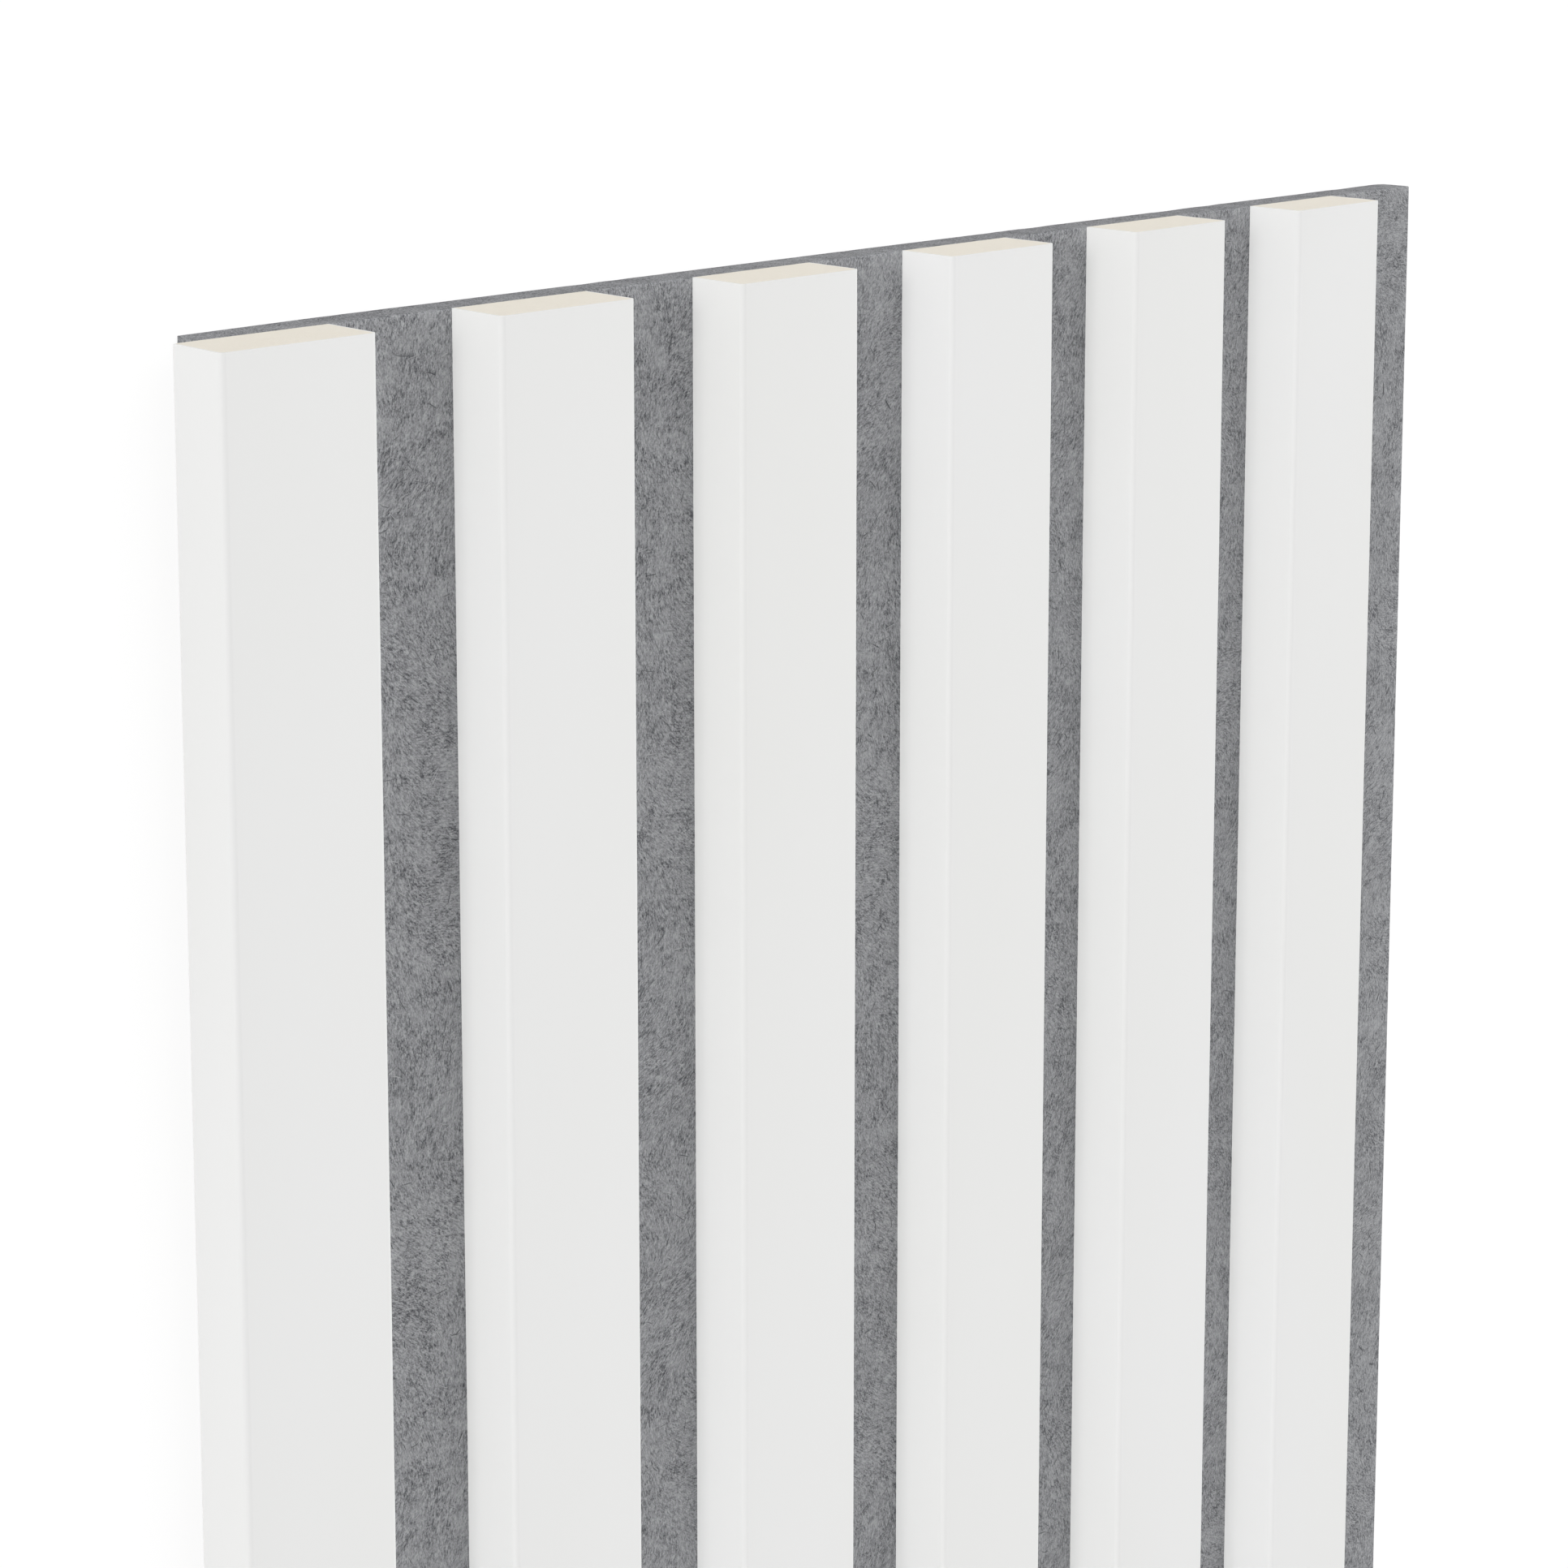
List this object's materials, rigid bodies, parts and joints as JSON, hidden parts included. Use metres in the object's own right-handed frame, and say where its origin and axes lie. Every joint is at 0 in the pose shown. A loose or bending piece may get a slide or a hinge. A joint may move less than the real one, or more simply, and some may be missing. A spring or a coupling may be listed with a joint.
{
  "type": "acoustic slat panel",
  "caption": "Acoustic wall panel of white foil-wrapped fibreboard slats glued in a row on a grey felt sheet, with an overhanging slat that covers the joint to the next panel.",
  "frame": {"origin": "middle of the panel's length and overall width, at the felt's back face", "axes": "+Z out of the slat fronts, +Y along the slats towards the end that the picture shows, +X across the panel from the overhanging slat to the bare felt margin"},
  "size_m": [0.305, 1.2, 0.019],
  "materials": {
    "grey_felt": "matte",
    "fibreboard": "matte",
    "white_foil": "matte"
  },
  "bodies": {
    "root": {"felt_backing": "grey_felt", "slat_core_1": "fibreboard", "slat_core_2": "fibreboard", "slat_core_3": "fibreboard", "slat_core_4": "fibreboard", "slat_core_5": "fibreboard", "slat_core_6": "fibreboard", "slat_foil_1": "white_foil", "slat_foil_2": "white_foil", "slat_foil_3": "white_foil", "slat_foil_4": "white_foil", "slat_foil_5": "white_foil", "slat_foil_6": "white_foil"}
  },
  "joints": []
}
